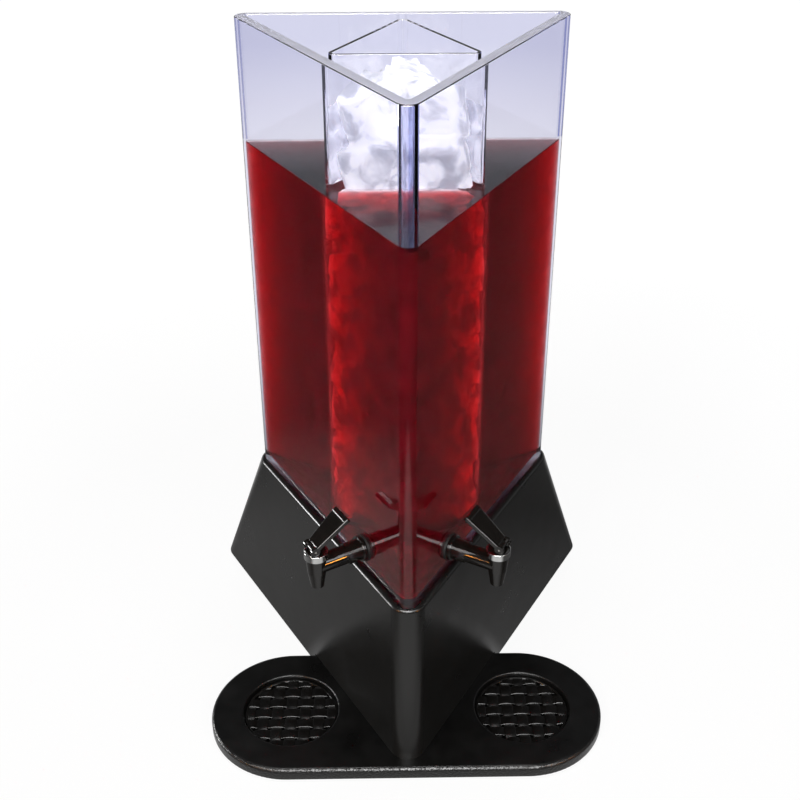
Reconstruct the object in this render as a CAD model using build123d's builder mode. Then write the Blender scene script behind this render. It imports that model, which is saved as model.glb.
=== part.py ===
from build123d import *
import os
from math import atan, cos, hypot, radians, sin, sqrt, tan

os.makedirs("parts", exist_ok=True)

# Tank: clear triangular prism with one corner to the front, walls standing on a floor plate
tank_side = 305.0             # side of the outer triangle, measured to its sharp corners
tank_height = 460.0
tank_wall = 10.0              # the two front panes, which carry the taps
tank_back_wall = 4.0
tank_floor = 6.0
tank_corner = 9.0
tank_inner_corner = 2.5
tank_rim_round = 1.0
juice_headspace = 114.0       # juice surface below the tank's rim
juice_gap = 0.2

# Ice tube: clear triangular tube, turned so that its corners face the tank's walls
ice_clearance = 9.0           # tube corner to tank wall
ice_corner = 6.0
ice_wall = 3.0
ice_floor = 4.0
ice_below_rim = 1.5
ice_top_drop = 26.0           # heap of ice below the tube's mouth, apart from a few corners
ice_gap = 0.5
ice_juice_gap = 0.4
ice_rim_round = 0.6
ice_cube = 40.0               # cubes frozen into one core that fits the room inside the tube
ice_cube_sink = 24.0          # cube's middle behind the room's face
ice_cube_spread = 44.0        # between the two cubes of a layer on one face
ice_cube_stagger = 11.0       # aside, the other way in every second layer
ice_cube_pitch = 43.0         # between layers
ice_cube_tilt = 25.0          # furthest tilt
ice_cube_turn = 137.5         # turn from one cube to the next
ice_core_inset = 12.5         # solid heart behind the room's faces
ice_core_drop = 10.0          # solid heart below the heap's top
ice_crown_drop = 19.0         # middle of the cube that crowns the heart below the heap's top

# Pedestal: moulded shell, front faces upright, back leaning out to the table
seat_height = 202.0           # table to the tank's underside
pedestal_margin = 6.0         # pedestal face outside the tank's face
pedestal_wall = 5.0
pedestal_corner = 18.0
foot_back = 195.0             # tank's axis to the pedestal's back edge on the table
seat_plate = 6.0
lip_height = 1.0
lip_gap = 0.5
rim_round = 4.0
post_radius = 8.0
post_overlap = 1.0            # post's bite into the wall
rear_post_height = 26.0
post_along = 165.0            # rear screw posts, along the face from the pedestal's front corner

# Drip tray: stadium plate with two wells under the taps
tray_length = 394.0
tray_depth = 160.0
tray_thickness = 13.0
tray_round = 4.0
tray_bottom_round = 1.0
tray_ahead = 102.0            # tray's centre line ahead of the tank's axis
tray_gap = 0.5
well_radius = 48.0
well_depth = 9.0
well_round = 1.2

# Rubber feet
foot_radius = 8.0
foot_proud = 1.5
foot_recess = 1.0
foot_gap = 0.1
tray_foot_pitch = 110.0

# Screws that hold the tray under the pedestal
screw_radius = 2.5
screw_length = 26.0
screw_head_radius = 4.8
screw_head_height = 3.0
screw_recess = 1.0            # head below the tray's underside
screw_clearance = 0.4
pilot_gap = 0.05
pilot_spare = 3.0
socket_across = 4.0
socket_depth = 1.6

# Drip grilles: woven mats that lift out of the wells
grille_gap = 1.0
grille_rim = 3.0
grille_height = 4.5
weave_pitch = 14.0
weave_strip = 10.4
weave_base = 1.4              # underside of the mat above the well's floor
weave_plate = 1.8
weave_gap = 0.8               # where a strip dips under its neighbour

# Taps: self-closing, one in each front face
tap_along = 79.0              # along the face from the tank's sharp front corner
tap_reach = 49.0              # tank's face to the spout's axis
washer_radius = 13.0
washer_thickness = 2.0
flange_radius = 12.3
flange_thickness = 4.0
flange_round = 0.8
barrel_radius = 9.0
barrel_step_radius = 10.2
barrel_step_length = 14.0
shank_radius = 7.0
shank_spare = 2.0             # shank beyond the lock nut
shank_hole_gap = 0.3
shank_thread_gap = 0.05
flow_radius = 3.5
nut_across = 22.0
nut_thickness = 6.0
nut_floor_gap = 5.3
spout_drop = 23.0             # tap's axis to the spout's mouth
spout_tip_radius = 6.1
spout_root_radius = 8.6
spout_root_drop = 7.0
outlet_radius = 3.2
chamber_radius = 5.2
seat_drop = 10.0              # tap's axis to the valve seat
collar_gap = 0.3              # barrel's top to the collar's underside
neck_height = 3.0
gasket_thickness = 1.2
cap_thickness = 1.3
cap_boss_height = 1.2         # cap above its flange
cap_gap = 0.1
cap_margin = 0.15             # cap's boss outside its ears
collar_bite = 0.8             # collar's lip over the cap's flange
collar_wall = 1.25
collar_lip = 1.5
collar_round = 0.6
ear_gap = 0.2                 # lever's hub to the cap's ears
ear_thickness = 1.8
ear_radius = 2.6
pivot_radius = 1.1
pivot_gap = 0.05
lever_cap_gap = 0.5           # lever's hub above the cap at rest
lift_arm = 4.5
lift_half_angle = 30.0        # lift pin below the pivot at rest, and above it when open
lift_pin_radius = 1.0
lift_hub_radius = 2.2
slot_gap = 0.15
head_margin = 0.9             # stem head round its slot
head_thickness = 3.4
fork_gap = 0.3                # lever's fork to the stem's head
cheek_thickness = 1.5
stem_radius = 1.6
stem_gap = 0.05
stem_below_cup_top = 4.0
cup_radius = 4.2
cup_height = 6.0
lever_lean = 52.0             # blade back from upright at rest
lever_length = 42.0
lever_thickness = 4.5
lever_root_width = 17.0
lever_tip_width = 24.0
lever_shoulder_gap = 0.6      # blade's root to the cap's ears
lever_cheek_radius = 4.4      # cheeks outside the ears
lever_tip_round = 1.5
lever_edge_round = 1.0
lever_bead_radius = 1.3       # grip bead across the blade near its tip
lever_bead_setback = 4.0
lever_bead_sink = 0.4
pivot_pin_inset = 0.4

# Places worked out from the sizes above; the origin lies under the middle of the whole object
tank_apothem = tank_side / (2 * sqrt(3))
tank_y = (tray_ahead + tray_depth / 2 - foot_back) / 2
tank_inner = tank_apothem - tank_wall
pocket_apothem = tank_inner + (tank_wall - tank_back_wall) / 3
pocket_y = tank_y + (tank_wall - tank_back_wall) * 2 / 3
floor_top = seat_height + tank_floor
tank_top = seat_height + tank_height
juice_top = tank_top - juice_headspace
ice_apothem = (tank_inner - ice_clearance + ice_corner) / 2
ice_top = tank_top - ice_below_rim
pedestal_apothem = tank_apothem + pedestal_margin
pedestal_top = seat_height + lip_height
back_slope = (foot_back - pedestal_apothem) / (pedestal_top - foot_proud)
back_lean = atan(back_slope)
tray_y = tank_y - tray_ahead
tray_top = foot_proud + tray_thickness
well_x = (tray_length - tray_depth) / 2
well_floor = tray_top - well_depth
grille_radius = well_radius - grille_gap
pedestal_tip_y = tank_y - 2 * pedestal_apothem
post_inset = pedestal_wall + post_radius - post_overlap
post_x = post_along * sin(radians(30)) - post_inset * cos(radians(30))
post_y = pedestal_tip_y + post_along * cos(radians(30)) + post_inset * sin(radians(30))
post_points = [(0, pedestal_tip_y + 2 * post_inset), (-post_x, post_y), (post_x, post_y)]
rear_foot_x = (2 * pedestal_apothem + foot_back) * tan(radians(30)) - pedestal_corner * sqrt(3)
rear_foot_points = [(side * rear_foot_x, tank_y + foot_back - pedestal_corner) for side in (-1, 1)]
tray_foot_points = [
    (side * well_x, tray_y + end * tray_foot_pitch / 2) for side in (-1, 1) for end in (-1, 1)
]
screw_seat = foot_proud + screw_recess + screw_head_height


def triangle(z, apothem, corner, turn=-90, y=tank_y):
    """Equilateral outline about the tank's axis, a corner to the front unless turned."""
    with BuildSketch(Plane.XY.offset(z)) as outline:
        with Locations((0, y)):
            RegularPolygon(apothem, 3, major_radius=False, rotation=turn)
        fillet(outline.vertices(), corner)
    return outline.sketch


def discs(z, points, radius):
    """Equal circles at the given points."""
    with BuildSketch(Plane.XY.offset(z)) as outline:
        with Locations(*points):
            Circle(radius)
    return outline.sketch


def pedestal_form(inset, top):
    """Outer block of the pedestal, or the same block drawn in by a wall."""
    apothem = pedestal_apothem - inset
    back_foot = foot_back - inset / cos(back_lean)
    back_top = back_foot - (top - foot_proud) * back_slope
    half_width = (2 * apothem + back_foot) * tan(radians(30))
    with BuildPart() as form:
        with BuildSketch(Plane.XY.offset(foot_proud)):
            with BuildLine():
                Polyline(
                    (0, tank_y - 2 * apothem),
                    (half_width, tank_y + back_foot),
                    (-half_width, tank_y + back_foot),
                    close=True,
                )
            make_face()
        extrude(amount=top - foot_proud)
        with BuildSketch(Plane.YZ):
            with BuildLine():
                Polyline(
                    (tank_y + back_foot, foot_proud),
                    (tank_y + back_top, top),
                    (tank_y + back_foot, top),
                    close=True,
                )
            make_face()
        extrude(amount=half_width, both=True, mode=Mode.SUBTRACT)
        long_edges = form.edges().filter_by(lambda edge: abs(edge.tangent_at(0.5).Z) > 0.5)
        fillet(long_edges, pedestal_corner - inset)
    return form.part


def write(builder, name):
    """Label a finished piece and write it."""
    builder.part.label = name
    export_step(builder.part, f"parts/{name}.step")


# Pedestal
with BuildPart() as pedestal_hollow:
    add(pedestal_form(pedestal_wall, seat_height - seat_plate))
    extrude(discs(0, post_points, post_radius), amount=seat_height, mode=Mode.SUBTRACT)
    rear_lugs = discs(0, rear_foot_points, pedestal_corner)
    extrude(rear_lugs, amount=rear_post_height, mode=Mode.SUBTRACT)

with BuildPart() as pedestal_shell:
    add(pedestal_form(0, pedestal_top))
    fillet(pedestal_shell.faces().sort_by(Axis.Z)[-1].edges(), rim_round)
    add(pedestal_hollow.part, mode=Mode.SUBTRACT)
    seat_outline = triangle(seat_height, tank_apothem + lip_gap, tank_corner + lip_gap)
    extrude(seat_outline, amount=2 * lip_height, mode=Mode.SUBTRACT)
    with BuildSketch():
        with Locations((0, tray_y)):
            SlotOverall(tray_length + 2 * tray_gap, tray_depth + 2 * tray_gap)
    extrude(amount=tray_top, mode=Mode.SUBTRACT)
    pilot_depth = screw_seat + screw_length + pilot_spare
    extrude(discs(0, post_points, screw_radius + pilot_gap), amount=pilot_depth, mode=Mode.SUBTRACT)
    rear_recess = discs(0, rear_foot_points, foot_radius + foot_gap)
    extrude(rear_recess, amount=foot_proud + foot_recess, mode=Mode.SUBTRACT)
write(pedestal_shell, "pedestal_shell")

# Drip tray
with BuildPart() as drip_tray:
    with BuildSketch(Plane.XY.offset(foot_proud)):
        with Locations((0, tray_y)):
            SlotOverall(tray_length, tray_depth)
    extrude(amount=tray_thickness)
    fillet(drip_tray.faces().sort_by(Axis.Z)[-1].edges(), tray_round)
    fillet(drip_tray.faces().sort_by(Axis.Z)[0].edges(), tray_bottom_round)
    well_points = [(-well_x, tray_y), (well_x, tray_y)]
    extrude(discs(tray_top, well_points, well_radius), amount=-well_depth, mode=Mode.SUBTRACT)
    well_rims = drip_tray.edges().filter_by(GeomType.CIRCLE).filter_by(
        lambda edge: abs(edge.radius - well_radius) < 0.01 and edge.center().Z > tray_top - 0.01
    )
    fillet(well_rims, well_round)
    shank_holes = discs(0, post_points, screw_radius + screw_clearance)
    extrude(shank_holes, amount=tray_top, mode=Mode.SUBTRACT)
    head_holes = discs(0, post_points, screw_head_radius + screw_clearance)
    extrude(head_holes, amount=screw_seat, mode=Mode.SUBTRACT)
    tray_recess = discs(0, tray_foot_points, foot_radius + foot_gap)
    extrude(tray_recess, amount=foot_proud + foot_recess, mode=Mode.SUBTRACT)
write(drip_tray, "drip_tray")

# Feet and screws
with BuildPart() as tray_feet:
    extrude(discs(0, tray_foot_points, foot_radius), amount=foot_proud + foot_recess)
write(tray_feet, "tray_feet")

with BuildPart() as pedestal_feet:
    extrude(discs(0, rear_foot_points, foot_radius), amount=foot_proud + foot_recess)
write(pedestal_feet, "pedestal_feet")

with BuildPart() as tray_screws:
    head_bottom = screw_seat - screw_head_height
    extrude(discs(head_bottom, post_points, screw_head_radius), amount=screw_head_height)
    extrude(discs(screw_seat, post_points, screw_radius), amount=screw_length)
    with BuildSketch(Plane.XY.offset(head_bottom)):
        with Locations(*post_points):
            RegularPolygon(socket_across / 2, 6, major_radius=False)
    extrude(amount=socket_depth, mode=Mode.SUBTRACT)
write(tray_screws, "tray_screws")

# Tank, juice, ice tube and ice
tap_height = floor_top + nut_floor_gap + nut_across / sqrt(3)
tank_tip_y = tank_y - 2 * tank_apothem
nut_inner = tank_wall + washer_thickness + nut_thickness
shank_end = nut_inner + shank_spare


def tap_frame(side):
    """Plane on the tank's outer face at a tap, its normal pointing straight out of the face."""
    outward = Vector(side * cos(radians(30)), -sin(radians(30)), 0)
    along = Vector(side * sin(radians(30)), cos(radians(30)), 0)
    origin = Vector(0, tank_tip_y, tap_height) + along * tap_along
    return Plane(origin, x_dir=outward.cross(Vector(0, 0, 1)), z_dir=outward)


with BuildPart() as container_floor:
    extrude(triangle(seat_height, tank_apothem, tank_corner), amount=tank_floor)
write(container_floor, "container_floor")

with BuildPart() as container_walls:
    wall_height = tank_height - tank_floor
    extrude(triangle(floor_top, tank_apothem, tank_corner), amount=wall_height)
    pocket_outline = triangle(floor_top, pocket_apothem, tank_inner_corner, y=pocket_y)
    extrude(pocket_outline, amount=wall_height, mode=Mode.SUBTRACT)
    fillet(container_walls.faces().sort_by(Axis.Z)[-1].edges(), tank_rim_round)
    for side in (-1, 1):
        with BuildSketch(tap_frame(side)):
            Circle(shank_radius + shank_hole_gap)
        extrude(amount=-tank_wall, mode=Mode.SUBTRACT)
write(container_walls, "container_walls")

with BuildPart() as juice_fill:
    juice_depth = juice_top - floor_top - juice_gap
    juice_bottom = floor_top + juice_gap
    juice_outline = triangle(juice_bottom, pocket_apothem - juice_gap, tank_inner_corner, y=pocket_y)
    extrude(juice_outline, amount=juice_depth)
    tube_outline = triangle(floor_top, ice_apothem + ice_juice_gap, ice_corner + ice_juice_gap, 90)
    extrude(tube_outline, amount=tank_height, mode=Mode.SUBTRACT)
    for side in (-1, 1):
        with BuildSketch(tap_frame(side)):
            Circle(max(nut_across / sqrt(3), washer_radius) + juice_gap)
        extrude(amount=-shank_end - juice_gap, mode=Mode.SUBTRACT)
write(juice_fill, "juice_fill")

with BuildPart() as ice_tube_floor:
    extrude(triangle(floor_top, ice_apothem - ice_wall, ice_corner - ice_wall, 90), amount=ice_floor)
write(ice_tube_floor, "ice_tube_floor")

with BuildPart() as ice_tube_walls:
    tube_height = ice_top - floor_top
    extrude(triangle(floor_top, ice_apothem, ice_corner, 90), amount=tube_height)
    tube_bore = triangle(floor_top, ice_apothem - ice_wall, ice_corner - ice_wall, 90)
    extrude(tube_bore, amount=tube_height, mode=Mode.SUBTRACT)
    fillet(ice_tube_walls.faces().sort_by(Axis.Z)[-1].edges(), ice_rim_round)
write(ice_tube_walls, "ice_tube_walls")

ice_bottom = floor_top + ice_floor
ice_height = ice_top - ice_top_drop - ice_bottom
ice_room = ice_apothem - ice_wall - ice_gap
ice_room_corner = ice_corner - ice_wall - ice_gap
ice_layers = int(ice_height / ice_cube_pitch)
ice_layer_heights = [ice_bottom + ice_height * (layer + 0.5) / ice_layers for layer in range(ice_layers)]


def ice_cube_spots():
    """Two cubes behind each face in every layer, each turned a step further, and one on top."""
    spots = []
    for layer, height in enumerate(ice_layer_heights):
        shift = ice_cube_stagger if layer % 2 else -ice_cube_stagger
        for face in range(3):
            facing = Location((0, tank_y, height), (0, 0, 120 * face))
            for side in (-1, 1):
                turn = ice_cube_turn * len(spots)
                tilt = (ice_cube_tilt * sin(radians(turn)), ice_cube_tilt * cos(radians(turn)), turn)
                aside = side * ice_cube_spread / 2 + shift
                spots.append(facing * Location((aside, ice_cube_sink - ice_room, 0), tilt))
    crown_height = ice_bottom + ice_height - ice_crown_drop
    spots.append(Location((0, tank_y, crown_height), (0, ice_cube_tilt / 2, ice_cube_turn)))
    return spots


with BuildPart() as ice_fill:
    heart_outline = triangle(ice_bottom, ice_room - ice_core_inset, ice_room_corner, 90)
    extrude(heart_outline, amount=ice_height - ice_core_drop)
    with Locations(*ice_cube_spots()):
        Box(ice_cube, ice_cube, ice_cube)
    room_outline = triangle(ice_bottom, ice_room, ice_room_corner, 90)
    extrude(room_outline, amount=ice_top - ice_bottom, mode=Mode.INTERSECT)
write(ice_fill, "ice_fill")

# Drip grilles
weave_top = well_floor + weave_base + weave_plate
weave_reach = int(grille_radius / weave_pitch) + 1
weave_steps = range(-weave_reach, weave_reach + 1)
weave_length = 2 * (weave_pitch - weave_gap) - weave_strip
crossings = [(column, row) for column in weave_steps for row in weave_steps]
over_points = [(c * weave_pitch, r * weave_pitch) for c, r in crossings if (c + r) % 2 == 0]
under_points = [(c * weave_pitch, r * weave_pitch) for c, r in crossings if (c + r) % 2 == 1]
mat_radius = grille_radius - grille_rim
for side, name in ((-1, "left"), (1, "right")):
    with BuildPart() as drip_grille:
        extrude(discs(well_floor, [(side * well_x, tray_y)], grille_radius), amount=grille_height)
        with BuildSketch(Plane.XY.offset(well_floor)):
            with Locations((side * well_x, tray_y)):
                Circle(mat_radius)
        extrude(amount=grille_height, mode=Mode.SUBTRACT)
        with BuildSketch(Plane.XY.offset(well_floor + weave_base)):
            with Locations((side * well_x, tray_y)):
                Circle(mat_radius)
                with GridLocations(weave_pitch, weave_pitch, 2 * weave_reach, 2 * weave_reach):
                    drain = weave_pitch - weave_strip
                    Rectangle(drain, drain, mode=Mode.SUBTRACT)
        extrude(amount=weave_plate)
        with BuildSketch(Plane.XY.offset(weave_top)):
            with Locations((side * well_x, tray_y)):
                with Locations(*over_points):
                    Rectangle(weave_length, weave_strip)
                with Locations(*under_points):
                    Rectangle(weave_strip, weave_length)
                Circle(mat_radius, mode=Mode.INTERSECT)
        extrude(amount=well_floor + grille_height - weave_top)
    write(drip_grille, f"drip_grille_{name}")

# Taps
shoulder_rise = barrel_radius + collar_gap
neck_top = shoulder_rise + neck_height
cap_bottom = neck_top + gasket_thickness
cap_flange_top = cap_bottom + cap_thickness
cap_top = cap_flange_top + cap_boss_height
pivot_out = lift_arm * (1 + cos(radians(lift_half_angle))) / 2
lift_drop = lift_arm * sin(radians(lift_half_angle))
lift_out = pivot_out - lift_arm * cos(radians(lift_half_angle))
lift_sway = lift_arm * (1 - cos(radians(lift_half_angle)))
slot_length = 2 * lift_pin_radius + lift_sway + 2 * slot_gap
slot_height = 2 * (lift_pin_radius + slot_gap)
head_width = slot_length + 2 * head_margin
head_height = slot_height + 2 * head_margin
lift_z = cap_top + max(head_height / 2, lift_hub_radius) + lever_cap_gap
pivot_z = lift_z + lift_drop
fork_half = head_thickness / 2 + fork_gap
hub_half = fork_half + cheek_thickness
ear_inner = hub_half + ear_gap
ear_outer = ear_inner + ear_thickness
lever_shoulder = ear_radius + lever_shoulder_gap
lever_cheek_inner = ear_outer + ear_gap
pivot_pin_half = lever_root_width / 2 - pivot_pin_inset
cap_boss_radius = hypot(pivot_out + ear_radius, ear_outer) + cap_margin
collar_lip_radius = cap_boss_radius + cap_gap
neck_radius = collar_lip_radius + collar_bite
collar_radius = neck_radius + cap_gap + collar_wall
cup_bottom = -seat_drop
cup_top = cup_bottom + cup_height
stem_bottom = cup_top - stem_below_cup_top

for side, name in ((-1, "left"), (1, "right")):
    face = tap_frame(side)
    valve_origin = face.origin + face.z_dir * tap_reach
    valve = Plane(valve_origin, x_dir=face.z_dir, z_dir=(0, 0, 1))
    profile = Plane(valve_origin, x_dir=face.z_dir, z_dir=face.x_dir)
    valve_axis = Axis(valve_origin, (0, 0, 1))

    with BuildPart() as tap_body:
        with BuildSketch(face.offset(washer_thickness)):
            Circle(shank_radius)
        extrude(amount=-washer_thickness - shank_end)
        with BuildSketch(face.offset(washer_thickness)):
            Circle(flange_radius)
        extrude(amount=flange_thickness)
        flange_rims = tap_body.edges().filter_by(GeomType.CIRCLE).filter_by(
            lambda edge: abs(edge.radius - flange_radius) < 0.01
        )
        fillet(flange_rims, flange_round)
        with BuildSketch(face.offset(washer_thickness + flange_thickness)):
            Circle(barrel_step_radius)
        extrude(amount=barrel_step_length)
        with BuildSketch(face.offset(washer_thickness + flange_thickness)):
            Circle(barrel_radius)
        extrude(amount=tap_reach - washer_thickness - flange_thickness)
        with BuildSketch(profile):
            with BuildLine():
                Polyline(
                    (0, -spout_drop),
                    (spout_tip_radius, -spout_drop),
                    (spout_root_radius, -spout_root_drop),
                    (neck_radius, shoulder_rise),
                    (neck_radius, neck_top),
                    (0, neck_top),
                    close=True,
                )
            make_face()
        revolve(axis=valve_axis)
        with BuildSketch(valve.offset(neck_top)):
            Circle(chamber_radius)
        extrude(amount=-neck_top - seat_drop, mode=Mode.SUBTRACT)
        with BuildSketch(valve.offset(-spout_drop)):
            Circle(outlet_radius)
        extrude(amount=spout_drop, mode=Mode.SUBTRACT)
        with BuildSketch(face.offset(-shank_end)):
            Circle(flow_radius)
        extrude(amount=shank_end + tap_reach, mode=Mode.SUBTRACT)
    write(tap_body, f"tap_body_{name}")

    with BuildPart() as tap_washer_outer:
        with BuildSketch(face):
            Circle(washer_radius)
            Circle(shank_radius + shank_thread_gap, mode=Mode.SUBTRACT)
        extrude(amount=washer_thickness)
    write(tap_washer_outer, f"tap_washer_outer_{name}")

    with BuildPart() as tap_washer_inner:
        with BuildSketch(face.offset(-tank_wall)):
            Circle(washer_radius - flange_round)
            Circle(shank_radius + shank_thread_gap, mode=Mode.SUBTRACT)
        extrude(amount=-washer_thickness)
    write(tap_washer_inner, f"tap_washer_inner_{name}")

    with BuildPart() as tap_lock_nut:
        with BuildSketch(face.offset(-tank_wall - washer_thickness)):
            RegularPolygon(nut_across / 2, 6, major_radius=False)
            Circle(shank_radius + shank_thread_gap, mode=Mode.SUBTRACT)
        extrude(amount=-nut_thickness)
    write(tap_lock_nut, f"tap_lock_nut_{name}")

    with BuildPart() as tap_gasket:
        with BuildSketch(valve.offset(neck_top)):
            Circle(neck_radius)
            Circle(stem_radius + stem_gap, mode=Mode.SUBTRACT)
        extrude(amount=gasket_thickness)
    write(tap_gasket, f"tap_gasket_{name}")

    with BuildPart() as tap_cap:
        with BuildSketch(valve.offset(cap_bottom)):
            Circle(neck_radius)
        extrude(amount=cap_thickness)
        with BuildSketch(valve.offset(cap_flange_top)):
            Circle(cap_boss_radius)
        extrude(amount=cap_boss_height)
        with BuildSketch(profile):
            with Locations((pivot_out, pivot_z)):
                Circle(ear_radius)
            with Locations((pivot_out, (cap_top + pivot_z) / 2)):
                Rectangle(2 * ear_radius, pivot_z - cap_top)
        extrude(amount=ear_outer, both=True)
        with BuildSketch(profile):
            with Locations((pivot_out, cap_top + pivot_z)):
                Rectangle(4 * ear_radius, 2 * pivot_z)
        extrude(amount=ear_inner, both=True, mode=Mode.SUBTRACT)
        with BuildSketch(profile):
            with Locations((pivot_out, pivot_z)):
                Circle(pivot_radius)
        extrude(amount=ear_outer, both=True, mode=Mode.SUBTRACT)
        with BuildSketch(valve.offset(cap_bottom)):
            Circle(stem_radius + stem_gap)
        extrude(amount=cap_top, mode=Mode.SUBTRACT)
    write(tap_cap, f"tap_cap_{name}")

    with BuildPart() as tap_collar:
        with BuildSketch(valve.offset(shoulder_rise)):
            Circle(collar_radius)
            Circle(neck_radius + cap_gap, mode=Mode.SUBTRACT)
        extrude(amount=cap_flange_top - shoulder_rise)
        with BuildSketch(valve.offset(cap_flange_top)):
            Circle(collar_radius)
            Circle(collar_lip_radius, mode=Mode.SUBTRACT)
        extrude(amount=collar_lip)
        collar_rims = tap_collar.edges().filter_by(GeomType.CIRCLE).filter_by(
            lambda edge: abs(edge.radius - collar_radius) < 0.01
        )
        fillet(collar_rims.group_by(Axis.Z)[-1] + collar_rims.group_by(Axis.Z)[0], collar_round)
    write(tap_collar, f"tap_collar_{name}")

    with BuildPart() as tap_pivot_pin:
        with BuildSketch(profile):
            with Locations((pivot_out, pivot_z)):
                Circle(pivot_radius)
        extrude(amount=pivot_pin_half, both=True)
    write(tap_pivot_pin, f"tap_pivot_pin_{name}")

    with BuildPart() as tap_lift_pin:
        with BuildSketch(profile):
            with Locations((lift_out, lift_z)):
                Circle(lift_pin_radius)
        extrude(amount=hub_half, both=True)
    write(tap_lift_pin, f"tap_lift_pin_{name}")

    with BuildPart() as tap_stem:
        with BuildSketch(valve.offset(stem_bottom)):
            Circle(stem_radius)
        extrude(amount=lift_z - stem_bottom)
        with BuildSketch(profile):
            with Locations((0, lift_z)):
                Rectangle(head_width, head_height)
        extrude(amount=head_thickness / 2, both=True)
        with BuildSketch(profile):
            with Locations((0, lift_z)):
                Rectangle(slot_length, slot_height)
        extrude(amount=head_thickness / 2, both=True, mode=Mode.SUBTRACT)
    write(tap_stem, f"tap_stem_{name}")

    with BuildPart() as tap_seat_cup:
        with BuildSketch(valve.offset(cup_bottom)):
            Circle(cup_radius)
        extrude(amount=cup_height)
        with BuildSketch(valve.offset(stem_bottom)):
            Circle(stem_radius + stem_gap)
        extrude(amount=cup_height, mode=Mode.SUBTRACT)
    write(tap_seat_cup, f"tap_seat_cup_{name}")

    lean = radians(lever_lean)
    blade_dir = face.z_dir * -sin(lean) + Vector(0, 0, cos(lean))
    blade_up = face.z_dir * cos(lean) + Vector(0, 0, sin(lean))
    pivot_point = valve_origin + face.z_dir * pivot_out + Vector(0, 0, pivot_z)
    blade = Plane(pivot_point, x_dir=blade_dir, z_dir=blade_up)
    bead_along = lever_length - lever_bead_setback
    bead_point = blade.from_local_coords(Vector(bead_along, 0, lever_thickness / 2 - lever_bead_sink))
    with BuildPart() as tap_lever:
        with BuildSketch(blade):
            with BuildLine():
                Polyline(
                    (lever_shoulder, -lever_root_width / 2),
                    (lever_length, -lever_tip_width / 2),
                    (lever_length, lever_tip_width / 2),
                    (lever_shoulder, lever_root_width / 2),
                    close=True,
                )
            make_face()
        extrude(amount=lever_thickness / 2, both=True)
        tip_corners = tap_lever.edges().filter_by(
            lambda edge: abs(edge.tangent_at(0.5).dot(blade.z_dir)) > 0.99
        )
        fillet(tip_corners.sort_by(Axis(pivot_point, blade_dir))[-2:], lever_tip_round)
        fillet(tap_lever.faces().filter_by(Axis(pivot_point, blade.z_dir)).edges(), lever_edge_round)
        with BuildSketch(Plane(bead_point, x_dir=blade_dir, z_dir=face.x_dir)):
            Circle(lever_bead_radius)
        extrude(amount=lever_tip_width / 2 - lever_tip_round, both=True)
        with BuildSketch(blade):
            with Locations((lever_shoulder, 0)):
                Rectangle(2 * lever_shoulder, 2 * hub_half)
        extrude(amount=lever_thickness / 2 - lever_edge_round, both=True)
        for end in (-1, 1):
            with BuildSketch(profile.offset(end * lever_cheek_inner)):
                with Locations((pivot_out, pivot_z)):
                    Circle(lever_cheek_radius)
            extrude(amount=end * (lever_root_width / 2 - lever_cheek_inner))
        with BuildSketch(profile):
            with Locations((pivot_out, pivot_z)):
                Circle(lift_hub_radius)
            with Locations(((pivot_out + lift_out) / 2, (pivot_z + lift_z) / 2)):
                SlotCenterToCenter(lift_arm, 2 * lift_hub_radius, rotation=lift_half_angle)
        extrude(amount=hub_half, both=True)
        with BuildSketch(profile):
            with Locations((lift_out, lift_z)):
                Circle(hypot(head_width, head_height) / 2 + lift_sway / 2 + fork_gap)
        extrude(amount=fork_half, both=True, mode=Mode.SUBTRACT)
        with BuildSketch(profile):
            with Locations((pivot_out, pivot_z)):
                Circle(pivot_radius + pivot_gap)
        extrude(amount=lever_root_width / 2, both=True, mode=Mode.SUBTRACT)
        with BuildSketch(profile):
            with Locations((lift_out, lift_z)):
                Circle(lift_pin_radius)
        extrude(amount=hub_half, both=True, mode=Mode.SUBTRACT)
    write(tap_lever, f"tap_lever_{name}")
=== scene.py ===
import math

import bmesh
import bpy
from mathutils import Matrix, Vector, noise


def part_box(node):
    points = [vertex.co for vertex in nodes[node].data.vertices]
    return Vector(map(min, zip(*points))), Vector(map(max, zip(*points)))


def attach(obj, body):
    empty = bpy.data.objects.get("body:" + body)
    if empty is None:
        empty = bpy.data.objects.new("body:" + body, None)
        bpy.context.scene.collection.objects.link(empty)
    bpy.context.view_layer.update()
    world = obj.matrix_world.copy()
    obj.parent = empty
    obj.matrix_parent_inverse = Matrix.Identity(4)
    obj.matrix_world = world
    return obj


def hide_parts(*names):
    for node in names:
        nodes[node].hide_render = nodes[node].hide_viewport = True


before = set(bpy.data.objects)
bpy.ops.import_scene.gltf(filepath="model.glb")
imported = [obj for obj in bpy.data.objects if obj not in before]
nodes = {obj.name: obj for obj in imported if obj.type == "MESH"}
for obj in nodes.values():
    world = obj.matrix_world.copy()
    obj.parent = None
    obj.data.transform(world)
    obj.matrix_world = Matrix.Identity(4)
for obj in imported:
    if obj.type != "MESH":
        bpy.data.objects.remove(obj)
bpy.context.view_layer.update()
mm = 0.001
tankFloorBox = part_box("container_floor")
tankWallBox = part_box("container_walls")
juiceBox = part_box("juice_fill")
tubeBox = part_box("ice_tube_walls")
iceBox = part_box("ice_fill")
print("frame loaded:", len(nodes), "nodes")


def linear(hexText):  # sRGB hex to the linear colour that sockets take
    values = [int(hexText[i:i + 2], 16) / 255 for i in (1, 3, 5)]
    bent = [v / 12.92 if v <= 0.04045 else ((v + 0.055) / 1.055) ** 2.4 for v in values]
    return (*bent, 1.0)


def perSize(millimetres):  # texture scale whose features are this size
    return 1.0 / (millimetres * mm)


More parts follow.
